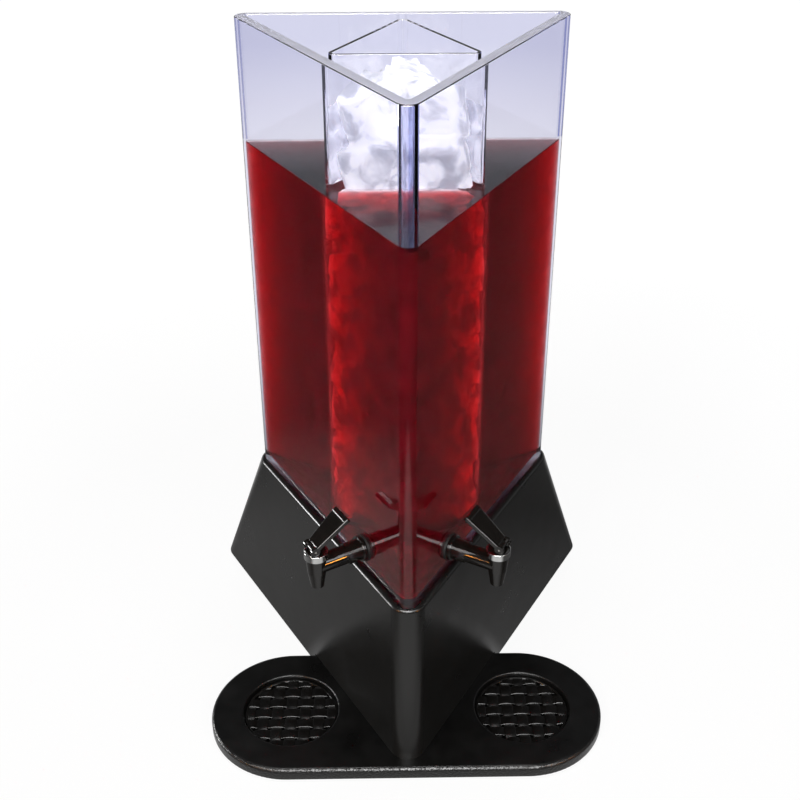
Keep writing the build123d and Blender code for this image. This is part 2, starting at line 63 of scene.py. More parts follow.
def addNode(tree, kind, settings=None, inputs=None):  # an input is a socket to link or a plain value
    node = tree.nodes.new(kind)
    for name, value in (settings or {}).items():
        setattr(node, name, value)
    for name, value in (inputs or {}).items():
        if isinstance(value, bpy.types.NodeSocket):
            tree.links.new(value, node.inputs[name])
        else:
            node.inputs[name].default_value = value
    return node


def startMaterial(name):
    material = bpy.data.materials.new(name)
    material.use_nodes = True
    material.node_tree.nodes.clear()
    place = addNode(material.node_tree, "ShaderNodeTexCoord").outputs["Object"]
    return material, material.node_tree, place


def endMaterial(tree, surface, volume=None):
    links = {"Surface": surface.outputs[0]}
    if volume:
        links["Volume"] = volume.outputs[0]
    addNode(tree, "ShaderNodeOutputMaterial", {}, links)


# Clear cast acrylic, solvent welded: glassy, faintly violet through its edges, polished and slightly wavy,
# with painted shade on its outer corners
acrylicLook = {
    "ior": (1.49, 1.112),    # against air, and against the juice that wets it
    "tint": "#4a50f4",       # light that a thick edge lets through
    "density": 6.0,          # per metre
    "paintedCornerShade": "#4c5cac",       # painted shade: blue-grey laid on the outer corners above the juice, standing in for light dimmed through the thick acrylic
    "paintedCornerShadeShare": (0.7, 0.9),    # share of the painted corner shade, left and right
    "waveSize": 60.0,        # mm between the sheet's soft waves
    "waveHeight": 0.02,      # mm
    "hazeSize": 9.0,         # mm, wiped patches
    "haze": (0.0, 0.03),     # roughness
    "sanded": 0.5,           # roughness of the underside that stands on the pedestal
}


def clearAcrylic():
    look = acrylicLook
    material, tree, place = startMaterial("clear cast acrylic")
    wave = addNode(tree, "ShaderNodeTexNoise", {}, {
        "Vector": place, "Scale": perSize(look["waveSize"]), "Detail": 1.0})
    bump = addNode(tree, "ShaderNodeBump", {}, {
        "Height": wave.outputs[0], "Strength": 1.0, "Distance": look["waveHeight"] * mm})
    wipe = addNode(tree, "ShaderNodeTexNoise", {}, {
        "Vector": place, "Scale": perSize(look["hazeSize"]), "Detail": 4.0})
    haze = addNode(tree, "ShaderNodeMapRange", {}, {
        "Value": wipe.outputs[0], 1: 0.45, 2: 0.75, 3: look["haze"][0], 4: look["haze"][1]})
    sanded = addNode(tree, "ShaderNodeAttribute", {"attribute_name": "sanded"})
    matt = addNode(tree, "ShaderNodeMath", {"operation": "MULTIPLY_ADD"}, {
        0: sanded.outputs["Fac"], 1: look["sanded"], 2: haze.outputs[0]})
    wet = addNode(tree, "ShaderNodeAttribute", {"attribute_name": "wet"})
    bend = addNode(tree, "ShaderNodeMapRange", {}, {
        "Value": wet.outputs["Fac"], 3: look["ior"][0], 4: look["ior"][1]})
    # painted shade: the outer corner faces are tinted blue-grey, more on the right
    paintedCornerShade = addNode(tree, "ShaderNodeAttribute", {"attribute_name": "paintedCornerShade"})
    tint = addNode(tree, "ShaderNodeMix", {"data_type": "RGBA"}, {
        0: paintedCornerShade.outputs["Fac"], 6: (1, 1, 1, 1), 7: linear(look["paintedCornerShade"])})
    body = addNode(tree, "ShaderNodeBsdfPrincipled", {}, {
        "Base Color": tint.outputs[2], "IOR": bend.outputs[0], "Transmission Weight": 1.0,
        "Roughness": matt.outputs[0], "Normal": bump.outputs[0]})
    depth = addNode(tree, "ShaderNodeVolumeAbsorption", {}, {
        "Color": linear(look["tint"]), "Density": look["density"]})
    endMaterial(tree, body, depth)
    return material


# Sawn acrylic edge, left matt: scatters a pale lavender light instead of showing what lies behind
sawnLook = {
    "pale": "#fbfbff",
    "dark": "#dedff0",
    "sawSize": 3.0,       # mm between saw marks
    "sawHeight": 0.05,    # mm
    "roughness": (0.32, 0.5),
    "ior": 1.49,
    "through": 0.6,       # share of light that passes
}


def sawnAcrylic():
    look = sawnLook
    material, tree, place = startMaterial("sawn acrylic edge")
    marks = addNode(tree, "ShaderNodeTexNoise", {}, {
        "Vector": place, "Scale": perSize(look["sawSize"]), "Detail": 3.0})
    colour = addNode(tree, "ShaderNodeMix", {"data_type": "RGBA"}, {
        0: marks.outputs[0], 6: linear(look["dark"]), 7: linear(look["pale"])})
    gloss = addNode(tree, "ShaderNodeMapRange", {}, {
        "Value": marks.outputs[0], 1: 0.3, 2: 0.7, 3: look["roughness"][0], 4: look["roughness"][1]})
    bump = addNode(tree, "ShaderNodeBump", {}, {
        "Height": marks.outputs[0], "Strength": 1.0, "Distance": look["sawHeight"] * mm})
    body = addNode(tree, "ShaderNodeBsdfPrincipled", {}, {
        "Base Color": colour.outputs[2], "IOR": look["ior"], "Roughness": gloss.outputs[0],
        "Transmission Weight": look["through"], "Normal": bump.outputs[0]})
    endMaterial(tree, body)
    return material


# Strained red fruit juice: clear, deep red where it is thick and bright red where it is thin
juiceLook = {
    "ior": 1.34,
    "tint": "#ee0000",
    "density": 220.0,     # per metre
    "pulp": "#bc0f26",
    "pulpShare": (0.16, 0.3),
    "rippleSize": 26.0,   # mm
    "rippleHeight": 0.015,    # mm
    "pulpSize": 14.0,     # mm, drifting clouds of pulp
    "roughness": (0.0, 0.04),
}


def redJuice():
    look = juiceLook
    material, tree, place = startMaterial("strained red juice")
    ripple = addNode(tree, "ShaderNodeTexNoise", {}, {
        "Vector": place, "Scale": perSize(look["rippleSize"]), "Detail": 2.0})
    bump = addNode(tree, "ShaderNodeBump", {}, {
        "Height": ripple.outputs[0], "Strength": 1.0, "Distance": look["rippleHeight"] * mm})
    pulp = addNode(tree, "ShaderNodeTexNoise", {}, {
        "Vector": place, "Scale": perSize(look["pulpSize"]), "Detail": 3.0})
    blur = addNode(tree, "ShaderNodeMapRange", {}, {
        "Value": pulp.outputs[0], 1: 0.4, 2: 0.8, 3: look["roughness"][0], 4: look["roughness"][1]})
    body = addNode(tree, "ShaderNodeBsdfPrincipled", {}, {
        "Base Color": (1, 1, 1, 1), "IOR": look["ior"], "Transmission Weight": 1.0,
        "Roughness": blur.outputs[0], "Normal": bump.outputs[0]})
    share = addNode(tree, "ShaderNodeMapRange", {}, {
        "Value": pulp.outputs[0], 1: 0.35, 2: 0.65, 3: look["pulpShare"][0], 4: look["pulpShare"][1]})
    cloud = addNode(tree, "ShaderNodeBsdfDiffuse", {}, {"Color": linear(look["pulp"])})
    gone = addNode(tree, "ShaderNodeBsdfTransparent")
    touching = addNode(tree, "ShaderNodeMixShader", {}, {
        0: share.outputs[0], 1: gone.outputs[0], 2: cloud.outputs[0]})
    wet = addNode(tree, "ShaderNodeAttribute", {"attribute_name": "wet"})
    both = addNode(tree, "ShaderNodeMixShader", {}, {
        0: wet.outputs["Fac"], 1: body.outputs[0], 2: touching.outputs[0]})
    depth = addNode(tree, "ShaderNodeVolumeAbsorption", {}, {
        "Color": linear(look["tint"]), "Density": look["density"]})
    endMaterial(tree, both, depth)
    return material


# Half-melted water ice: cloudy white hearts, clearer grey-blue skins, wet gloss, and a painted glow in its
# core
iceLook = {
    "cloud": "#fdfdff",
    "clear": "#e6e8f0",
    "cloudSize": 22.0,    # mm
    "crackSize": 5.0,     # mm
    "crackHeight": 0.5,   # mm
    "ior": 1.31,
    "through": 0.5,       # share of light that comes out on the far side
    "roughness": (0.12, 0.4),
    "paintedCoreGlow": (0.15, 2.0),    # painted glow: emission standing in for daylight that the core carries down, from clear to cloudy stretches
    "paintedCoreGlowTop": 0.5,         # share of the painted glow left where daylight reaches the ice from all round
    "paintedCoreGlowFade": (0.52, 0.56),   # metres up, where the juice ends
    "paintedCoreGlowEnd": (0.645, 0.69),   # metres up, where the tank ends
}


def cloudyIce():
    look = iceLook
    material, tree, place = startMaterial("melting water ice")
    cloud = addNode(tree, "ShaderNodeTexNoise", {}, {
        "Vector": place, "Scale": perSize(look["cloudSize"]), "Detail": 5.0, "Distortion": 0.6})
    share = addNode(tree, "ShaderNodeMapRange", {"interpolation_type": "SMOOTHSTEP"}, {
        "Value": cloud.outputs[0], 1: 0.36, 2: 0.6, 3: 0.0, 4: 1.0})
    colour = addNode(tree, "ShaderNodeMix", {"data_type": "RGBA"}, {
        0: share.outputs[0], 6: linear(look["clear"]), 7: linear(look["cloud"])})
    crack = addNode(tree, "ShaderNodeTexNoise", {}, {
        "Vector": place, "Scale": perSize(look["crackSize"]), "Detail": 3.0})
    bump = addNode(tree, "ShaderNodeBump", {}, {
        "Height": crack.outputs[0], "Strength": 1.0, "Distance": look["crackHeight"] * mm})
    gloss = addNode(tree, "ShaderNodeMapRange", {}, {
        "Value": cloud.outputs[0], 1: 0.3, 2: 0.7, 3: look["roughness"][0], 4: look["roughness"][1]})
    # painted glow: the ice emits its own colour, most in cloudy stretches, less above the juice and none
    # above the tank
    room = addNode(tree, "ShaderNodeNewGeometry")
    parts = addNode(tree, "ShaderNodeSeparateXYZ", {}, {0: room.outputs["Position"]})
    sunk = addNode(tree, "ShaderNodeMapRange", {}, {
        "Value": parts.outputs["Z"], 1: look["paintedCoreGlowFade"][0], 2: look["paintedCoreGlowFade"][1],
        3: 1.0, 4: look["paintedCoreGlowTop"]})
    inTank = addNode(tree, "ShaderNodeMapRange", {}, {
        "Value": parts.outputs["Z"], 1: look["paintedCoreGlowEnd"][0], 2: look["paintedCoreGlowEnd"][1], 3: 1.0, 4: 0.0})
    paintedGlowByHeight = addNode(tree, "ShaderNodeMath", {"operation": "MULTIPLY"}, {
        0: sunk.outputs[0], 1: inTank.outputs[0]})
    paintedGlowByCloud = addNode(tree, "ShaderNodeMapRange", {}, {
        "Value": share.outputs[0], 3: look["paintedCoreGlow"][0], 4: look["paintedCoreGlow"][1]})
    paintedCoreGlow = addNode(tree, "ShaderNodeMath", {"operation": "MULTIPLY"}, {
        0: paintedGlowByCloud.outputs[0], 1: paintedGlowByHeight.outputs[0]})
    body = addNode(tree, "ShaderNodeBsdfPrincipled", {}, {
        "Base Color": colour.outputs[2], "IOR": look["ior"], "Roughness": gloss.outputs[0],
        "Normal": bump.outputs[0],
        "Emission Color": colour.outputs[2], "Emission Strength": paintedCoreGlow.outputs[0]})
    glow = addNode(tree, "ShaderNodeBsdfTranslucent", {}, {"Color": colour.outputs[2]})
    both = addNode(tree, "ShaderNodeMixShader", {}, {
        0: look["through"], 1: body.outputs[0], 2: glow.outputs[0]})
    endMaterial(tree, both)
    return material


# Moulded black plastics: one recipe, each finish with its own colour, gloss and grain
plasticLooks = {
    "moulded satin ABS": {    # pedestal: spark grain, drawn coarse enough to show, softens every highlight
        "base": "#161514", "rub": "#1e1d1b", "roughness": (0.26, 0.34), "ior": 1.46,
        "grainSize": 1.1, "grainHeight": 0.03, "patchSize": 45.0},
    "pebbled ABS": {          # tray: leather-like pebble that sparkles along the rounded edge
        "base": "#070706", "rub": "#0c0b0a", "roughness": (0.26, 0.38), "ior": 1.5,
        "grainSize": 1.6, "grainHeight": 0.4, "patchSize": 30.0, "flatGrain": 0.1},
    "gloss ABS": {            # grilles: bright glints on rounded strips
        "base": "#0e0d0c", "rub": "#161412", "roughness": (0.16, 0.28), "ior": 1.5,
        "grainSize": 3.0, "grainHeight": 0.01, "patchSize": 12.0},
    "polished black acetal": {    # taps and levers: near mirror gloss, a little worn by hands
        "base": "#15120f", "rub": "#1f1b18", "roughness": (0.06, 0.14), "ior": 1.5,
        "grainSize": 2.0, "grainHeight": 0.008, "patchSize": 9.0},
    "grey silicone": {        # seals: soft, dull, slightly dusty
        "base": "#4a4744", "rub": "#5a5652", "roughness": (0.5, 0.62), "ior": 1.41,
        "grainSize": 1.2, "grainHeight": 0.02, "patchSize": 6.0},
    "black silicone": {       # washers outside the tank: soft and dull
        "base": "#121110", "rub": "#1c1a18", "roughness": (0.5, 0.62), "ior": 1.41,
        "grainSize": 1.2, "grainHeight": 0.02, "patchSize": 6.0},
    "foot rubber": {          # feet: matt and scuffed
        "base": "#161616", "rub": "#2a2927", "roughness": (0.62, 0.8), "ior": 1.5,
        "grainSize": 1.0, "grainHeight": 0.05, "patchSize": 5.0},
}
flatTop = (0.85, 0.99)    # upward part of the normal, from a rounded edge to a flat top


def mouldedPlastic(name):
    look = plasticLooks[name]
    material, tree, place = startMaterial(name)
    patch = addNode(tree, "ShaderNodeTexNoise", {}, {
        "Vector": place, "Scale": perSize(look["patchSize"]), "Detail": 4.0})
    colour = addNode(tree, "ShaderNodeMix", {"data_type": "RGBA"}, {
        0: patch.outputs[0], 6: linear(look["base"]), 7: linear(look["rub"])})
    gloss = addNode(tree, "ShaderNodeMapRange", {}, {
        "Value": patch.outputs[0], 1: 0.3, 2: 0.7, 3: look["roughness"][0], 4: look["roughness"][1]})
    grain = addNode(tree, "ShaderNodeTexVoronoi", {"feature": "SMOOTH_F1"}, {
        "Vector": place, "Scale": perSize(look["grainSize"]), "Smoothness": 0.6})
    facing = addNode(tree, "ShaderNodeTexCoord")
    parts = addNode(tree, "ShaderNodeSeparateXYZ", {}, {0: facing.outputs["Normal"]})
    relief = addNode(tree, "ShaderNodeMapRange", {}, {    # grain left on flat tops
        "Value": parts.outputs["Z"], 1: flatTop[0], 2: flatTop[1], 3: 1.0, 4: look.get("flatGrain", 1.0)})
    bump = addNode(tree, "ShaderNodeBump", {"invert": True}, {
        "Height": grain.outputs["Distance"], "Strength": relief.outputs[0],
        "Distance": look["grainHeight"] * mm})
    body = addNode(tree, "ShaderNodeBsdfPrincipled", {}, {
        "Base Color": colour.outputs[2], "IOR": look["ior"], "Roughness": gloss.outputs[0],
        "Normal": bump.outputs[0]})
    endMaterial(tree, body)
    return material


# Plated and bare metals: turning lines, drawn coarse enough to show, and faint wiped marks in the shine
metalLooks = {
    "chromed brass": {        # collars: near mirror, bright against the black
        "base": "#d9d9d8", "dull": "#b9b9b7", "roughness": (0.05, 0.16), "lineSize": 0.6, "wipeSize": 7.0},
    "stainless steel": {      # pins, stems and screws: softer grey shine
        "base": "#c3c0bb", "dull": "#a29e98", "roughness": (0.2, 0.34), "lineSize": 0.5, "wipeSize": 7.0},
}
lineStretch = (0.15, 0.15, 1.0)    # turning lines run round the upright axis


def brightMetal(name):
    look = metalLooks[name]
    material, tree, place = startMaterial(name)
    turned = addNode(tree, "ShaderNodeMapping", {}, {"Vector": place, "Scale": lineStretch})
    line = addNode(tree, "ShaderNodeTexNoise", {}, {
        "Vector": turned.outputs[0], "Scale": perSize(look["lineSize"]), "Detail": 3.0})
    wipe = addNode(tree, "ShaderNodeTexNoise", {}, {
        "Vector": place, "Scale": perSize(look["wipeSize"]), "Detail": 3.0})
    colour = addNode(tree, "ShaderNodeMix", {"data_type": "RGBA"}, {
        0: wipe.outputs[0], 6: linear(look["base"]), 7: linear(look["dull"])})
    gloss = addNode(tree, "ShaderNodeMapRange", {}, {
        "Value": line.outputs[0], 1: 0.3, 2: 0.7, 3: look["roughness"][0], 4: look["roughness"][1]})
    body = addNode(tree, "ShaderNodeBsdfPrincipled", {}, {
        "Base Color": colour.outputs[2], "Metallic": 1.0, "Roughness": gloss.outputs[0]})
    endMaterial(tree, body)
    return material


acrylic = clearAcrylic()
sawnEdge = sawnAcrylic()
juice = redJuice()
ice = cloudyIce()
plastics = {name: mouldedPlastic(name) for name in plasticLooks}
metals = {name: brightMetal(name) for name in metalLooks}
print("materials made:", len(bpy.data.materials))


def dress(obj, material, smooth=True):
    obj.data.materials.clear()
    obj.data.materials.append(material)
    if smooth:
        obj.data.polygons.foreach_set("use_smooth", [True] * len(obj.data.polygons))
    return obj


cadFinishes = {
    "pedestal_shell": plastics["moulded satin ABS"],
    "drip_tray": plastics["pebbled ABS"],
    "tray_feet": plastics["foot rubber"],
    "pedestal_feet": plastics["foot rubber"],
    "tray_screws": metals["stainless steel"],
    "tap_body": plastics["polished black acetal"],
    "tap_washer_outer": plastics["black silicone"],
    "tap_washer_inner": plastics["grey silicone"],
    "tap_lock_nut": plastics["polished black acetal"],
    "tap_gasket": plastics["grey silicone"],
    "tap_cap": plastics["polished black acetal"],
    "tap_collar": metals["chromed brass"],
    "tap_pivot_pin": metals["stainless steel"],
    "tap_lift_pin": metals["stainless steel"],
    "tap_stem": metals["stainless steel"],
    "tap_seat_cup": plastics["grey silicone"],
    "tap_lever": plastics["polished black acetal"],
}
for name, obj in nodes.items():
    plainName = name.removesuffix("_left").removesuffix("_right")
    if plainName in cadFinishes:
        dress(obj, cadFinishes[plainName], smooth=False)
print("CAD nodes dressed")


def linkObject(name, data):
    obj = bpy.data.objects.new(name, data)
    bpy.context.scene.collection.objects.link(obj)
    return obj


def triangleLoop(centre, apothem, corner, turn, z, steps=10):  # corners are arcs of `steps` chords
    points = []
    for k in range(3):
        ahead = math.radians(turn + 120 * k)
        reach = 2 * (apothem - corner)
        middle = Vector((centre[0] + reach * math.cos(ahead), centre[1] + reach * math.sin(ahead), z))
        for i in range(steps + 1):
            angle = ahead + math.radians(-60 + 120 * i / steps)
            points.append(middle + corner * Vector((math.cos(angle), math.sin(angle), 0)))
    return points


def stackLoops(bm, loops):  # walls between loops that have as many points
    rings = [[bm.verts.new(p) for p in loop] for loop in loops]
    for low, high in zip(rings, rings[1:]):
        for i in range(len(low)):
            j = (i + 1) % len(low)
            bm.faces.new((low[i], low[j], high[j], high[i]))
    return rings


sharpEdge = 40    # degrees between faces from which an edge stays sharp


def finishMesh(bm, name):
    bmesh.ops.recalc_face_normals(bm, faces=bm.faces)
    data = bpy.data.meshes.new(name)
    bm.to_mesh(data)
    bm.free()
    obj = linkObject(name, data)
    data.polygons.foreach_set("use_smooth", [True] * len(data.polygons))
    data.set_sharp_from_angle(angle=math.radians(sharpEdge))
    return obj


def bakeModifiers(obj):
    graph = bpy.context.evaluated_depsgraph_get()
    obj.data = bpy.data.meshes.new_from_object(obj.evaluated_get(graph))
    obj.modifiers.clear()
    return obj


def evenNormals(obj):  # large flats keep their own normal where they meet a rounded corner
    weigh = obj.modifiers.new("weigh", "WEIGHTED_NORMAL")
    weigh.weight = 100
    weigh.keep_sharp = True
    return obj


# Tank: three welded panes on a floor plate, one clear block with a pocket
tankShape = {
    "wall": 10.0 * mm,
    "backWall": 4.0 * mm,
    "corner": 9.0 * mm,
    "innerCorner": 2.5 * mm,
    "rimRound": 1.0 * mm,
    "footRound": 0.3 * mm,
    "innerFillet": 0.6 * mm,
    "tapHole": 7.3 * mm,     # radius
    "holeSteps": 64,
    "sawn": 0.4 * mm,        # depth of the matt edges laid on the clear block
    "skin": 0.05 * mm,       # air between the two
    "climb": 1.6 * mm,       # how far the juice's skin is drawn up the acrylic
    "slack": 0.3 * mm,       # faces this near to the pocket count as its own
    "outside": 2.0 * mm,     # faces this far out from the pocket count as outer ones
    "paintedCornerTurn": 55,          # degrees from the middle of a corner that the painted shade covers
}
tankApothem = (tankWallBox[1].y - tankWallBox[0].y + tankShape["corner"]) / 3
tankCentre = (0.0, tankWallBox[1].y - tankApothem)
thinner = tankShape["wall"] - tankShape["backWall"]
pocketApothem = tankApothem - tankShape["wall"] + thinner / 3
pocketCentre = (0.0, tankCentre[1] + thinner * 2 / 3)


def roundSteps(count=4):  # quarter turn from flat to upright
    return [(math.sin(a), math.cos(a)) for a in [math.pi / 2 * i / count for i in range(count + 1)]]


waterline = juiceBox[1].z + tankShape["climb"]    # top of the juice where it climbs the acrylic


def potLoops(turn, outer, inner, innerCentre, corners, rim, heights, footRound, fillet, wetLines):
    outside = []
    inside = []
    outerCorner, innerCorner = corners
    low, floorTop, high = heights
    for s, c in roundSteps():  # outside foot, turning up
        narrow = footRound * (1 - s)
        outside.append((outer - narrow, outerCorner - narrow, low + footRound * (1 - c)))
    outside.append((outer, outerCorner, wetLines[0]))
    for s, c in roundSteps():  # rim's outer edge, turning in
        narrow = rim * (1 - c)
        outside.append((outer - narrow, outerCorner - narrow, high - rim * (1 - s)))
    for s, c in reversed(roundSteps()):  # rim's inner edge, turning down
        wider = rim * (1 - c)
        inside.append((inner + wider, innerCorner + wider, high - rim * (1 - s)))
    inside.append((inner, innerCorner, wetLines[1]))
    for s, c in reversed(roundSteps()):  # inside foot, turning across the floor
        narrow = fillet * (1 - s)
        inside.append((inner - narrow, innerCorner - narrow, floorTop + fillet * (1 - c)))
    return ([triangleLoop(tankCentre, a, r, turn, z) for a, r, z in outside]
            + [triangleLoop(innerCentre, a, r, turn, z) for a, r, z in inside])


def clearPot(name, loops):
    bm = bmesh.new()
    rings = stackLoops(bm, loops)
    bm.faces.new(rings[0])
    bm.faces.new(rings[-1])
    return dress(finishMesh(bm, name), acrylic)


def insideTriangle(point, centre, apothem, turn):  # how far inside the nearest face, negative outside
    reach = []
    for k in range(3):
        angle = math.radians(turn + 180 + 120 * k)
        out = math.cos(angle) * (point.x - centre[0]) + math.sin(angle) * (point.y - centre[1])
        reach.append(apothem - out)
    return min(reach)


def markFaces(obj, name, rule):  # rule takes a face and gives its share of the look
    mark = obj.data.attributes.new(name, "FLOAT", "FACE")
    mark.data.foreach_set("value", [float(rule(face)) for face in obj.data.polygons])


tank = clearPot("tank", potLoops(
    -90, tankApothem, pocketApothem, pocketCentre, (tankShape["corner"], tankShape["innerCorner"]),
    tankShape["rimRound"],
    (tankFloorBox[0].z + tankShape["skin"], tankFloorBox[1].z, tankWallBox[1].z - tankShape["sawn"]),
    tankShape["footRound"], tankShape["innerFillet"], (waterline, waterline)))


def tapPlace(side):  # where a tap's axis meets the pane, and its way out
    low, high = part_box("tap_washer_outer_" + side)
    middle = (low + high) / 2
    outward = Vector((math.copysign(math.cos(math.radians(30)), middle.x), -0.5, 0))
    return middle, outward


for side in ("left", "right"):
    middle, outward = tapPlace(side)
    bm = bmesh.new()
    bmesh.ops.create_cone(bm, cap_ends=True, segments=tankShape["holeSteps"], radius1=tankShape["tapHole"],
                          radius2=tankShape["tapHole"], depth=6 * tankShape["wall"])
    bm.transform(Matrix.Translation(middle) @ outward.to_track_quat("Z", "Y").to_matrix().to_4x4())
    drill = finishMesh(bm, "drill")
    cut = tank.modifiers.new("cut", "BOOLEAN")
    cut.object = drill
    cut.solver = "EXACT"
    bakeModifiers(tank)
    bpy.data.objects.remove(drill)
tank.data.set_sharp_from_angle(angle=math.radians(sharpEdge))


def wetTank(face):
    inside = insideTriangle(face.center, pocketCentre, pocketApothem, -90)
    return face.center.z < waterline and inside > -tankShape["slack"]


def paintedCornerFaces(face):  # painted shade on the outer corners above the juice, stronger on the right
    way = face.normal
    level = math.degrees(math.atan2(way.y, way.x)) + 90
    offCorner = abs((level + 60) % 120 - 60)
    upright = abs(way.z) < 0.1 and face.center.z > waterline
    outer = insideTriangle(face.center, pocketCentre, pocketApothem, -90) < -tankShape["outside"]
    if upright and outer and offCorner < tankShape["paintedCornerTurn"]:
        return acrylicLook["paintedCornerShadeShare"][way.x > 0]
    return 0.0


def sandedTank(face):
    return face.normal.z < -0.9 and face.center.z < tankFloorBox[1].z - tankShape["slack"]


markFaces(tank, "wet", wetTank)
markFaces(tank, "paintedCornerShade", paintedCornerFaces)
markFaces(tank, "sanded", sandedTank)
evenNormals(tank)
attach(tank, "container")
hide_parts("container_walls", "container_floor")
print("tank built")


def closedRing(name, loops, material):  # a band whose last loop joins its first
    bm = bmesh.new()
    rings = stackLoops(bm, loops)
    for i in range(len(rings[0])):
        j = (i + 1) % len(rings[0])
        bm.faces.new((rings[-1][i], rings[-1][j], rings[0][j], rings[0][i]))
    return dress(finishMesh(bm, name), material)


def layRim():
    shape = tankShape
    low = tankWallBox[1].z - shape["sawn"] + shape["skin"]
    high = tankWallBox[1].z
    edge = shape["rimRound"]
    brow = high - shape["sawn"] / 2
    outside = [(edge / 2, 0.0, low), (edge / 2, 0.0, brow), (edge, edge / 2, high)]
    inside = [(edge, edge, high), (edge / 2, edge / 2, brow), (edge / 2, edge / 2, low)]
    loops = []
    for d, r, z in outside:
        loops.append(triangleLoop(tankCentre, tankApothem - d, shape["corner"] - r, -90, z))
    for d, r, z in inside:
        loops.append(triangleLoop(pocketCentre, pocketApothem + d, shape["innerCorner"] + r, -90, z))
    rim = closedRing("sawnRim", loops, sawnEdge)
    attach(rim, "container")


layRim()
print("rim laid")

# Ice tube: thin clear triangular tube with a floor, turned against the tank
tubeShape = {
    "wall": 3.0 * mm,
    "corner": 6.0 * mm,
    "floor": 4.0 * mm,
    "rimRound": 0.6 * mm,
    "footRound": 0.3 * mm,
    "innerFillet": 0.4 * mm,
    "melt": 24.0 * mm,       # top of the water that the ice stands in, below the ice's highest corner
    "slack": 0.2 * mm,       # faces this near to the outside count as outer ones
}
tubeApothem = (tubeBox[1].y - tubeBox[0].y + tubeShape["corner"]) / 3
tubeInner = tubeApothem - tubeShape["wall"]
meltTop = iceBox[1].z - tubeShape["melt"]
tube = clearPot("iceTube", potLoops(
    90, tubeApothem, tubeInner, tankCentre, (tubeShape["corner"], tubeShape["corner"] - tubeShape["wall"]),
    tubeShape["rimRound"],
    (tubeBox[0].z + tankShape["skin"], tubeBox[0].z + tubeShape["floor"], tubeBox[1].z),
    tubeShape["footRound"], tubeShape["innerFillet"], (waterline, meltTop)))


def wetTube(face):
    outer = insideTriangle(face.center, tankCentre, tubeApothem, 90) < tubeShape["slack"]
    return face.center.z < (waterline if outer else meltTop)


markFaces(tube, "wet", wetTube)
evenNormals(tube)
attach(tube, "ice_tube")
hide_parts("ice_tube_walls", "ice_tube_floor")
print("ice tube built")

# Juice: fills the tank round the tube, its surface drawn up where it wets the acrylic
juiceShape = {
    "bite": 0.2 * mm,       # juice past the acrylic's face, so that no air film shows between them
    "reach": 3.0 * mm,      # meniscus width
    "leastCorner": 0.3 * mm,
    "steps": 6,
}


def juiceLoops(centre, apothem, corner, turn, way):  # way is +1 at the tank, -1 round the tube
    shape = juiceShape
    bite = way * shape["bite"]
    wetted = apothem + bite
    loops = [(wetted, corner + bite, tankFloorBox[1].z - shape["bite"])]
    for i in range(shape["steps"] + 1):
        t = i / shape["steps"]
        rise = tankShape["climb"] * (1 - t) ** 3
        drawn = way * shape["reach"] * t ** 1.5
        rounding = max(corner + bite - drawn, shape["leastCorner"])
        loops.append((wetted - drawn, rounding, juiceBox[1].z + rise))
    return [triangleLoop(centre, a, r, turn, z) for a, r, z in loops]


bm = bmesh.new()
outerRings = stackLoops(bm, juiceLoops(pocketCentre, pocketApothem, tankShape["innerCorner"], -90, 1))
innerRings = stackLoops(bm, juiceLoops(tankCentre, tubeApothem, tubeShape["corner"], 90, -1))
for end in (0, -1):
    border = []
    for ring in (outerRings[end], innerRings[end]):
        for i in range(len(ring)):
            border.append(bm.edges.get((ring[i], ring[(i + 1) % len(ring)])))
    bmesh.ops.triangle_fill(bm, edges=border, use_beauty=True, use_dissolve=False)
juiceBody = dress(finishMesh(bm, "juice"), juice)
markFaces(juiceBody, "wet", lambda face: face.center.z < juiceBox[1].z - juiceShape["bite"])
evenNormals(juiceBody)
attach(juiceBody, "container")
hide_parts("juice_fill")
print("juice poured")

# Ice: cubes frozen into one core, melted into rounded lumps
iceShape = {
    "grid": 2.2 * mm,         # mesh size
    "melt": 8,                # rounds of smoothing
    "meltShare": 0.5,         # how much each evens out
    "lump": 26.0 * mm,        # size of the lumps
    "crevice": 2.4 * mm,      # depth of the gaps between them
    "creviceWide": 0.4,       # width of the gaps, in lumps
    "dent": 2.6 * mm,         # depth of slow hollows
    "dentWide": 1.7,          # width of the hollows, in lumps
}


def hollowAt(point):  # how deep the ice has melted here
    shape = iceShape
    near, following = noise.voronoi(point / shape["lump"])[0][:2]
    gap = max(0.0, 1 - (following - near) / shape["creviceWide"]) ** 2
    slow = 0.5 + 0.5 * noise.noise(point / (shape["dentWide"] * shape["lump"]))
    return shape["crevice"] * gap + shape["dent"] * slow


def freezeIce():
    shape = iceShape
    solid = nodes["ice_fill"]
    core = linkObject("ice", solid.data.copy())
    core.data.transform(solid.matrix_world)
    core.data.materials.clear()
    remesh = core.modifiers.new("grid", "REMESH")
    remesh.mode = "VOXEL"
    remesh.voxel_size = shape["grid"]
    melt = core.modifiers.new("melt", "SMOOTH")
    melt.factor = shape["meltShare"]
    melt.iterations = shape["melt"]
    bakeModifiers(core)
    low, high = iceBox
    outward = [vertex.normal.copy() for vertex in core.data.vertices]
    for vertex, way in zip(core.data.vertices, outward):
        place = vertex.co - way * hollowAt(vertex.co)
        place.z = min(max(place.z, low.z), high.z)
        vertex.co = place
    return dress(core, ice)


iceCore = freezeIce()
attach(iceCore, "ice_tube")
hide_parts("ice_fill")
print("ice frozen:", len(iceCore.data.vertices), "points")

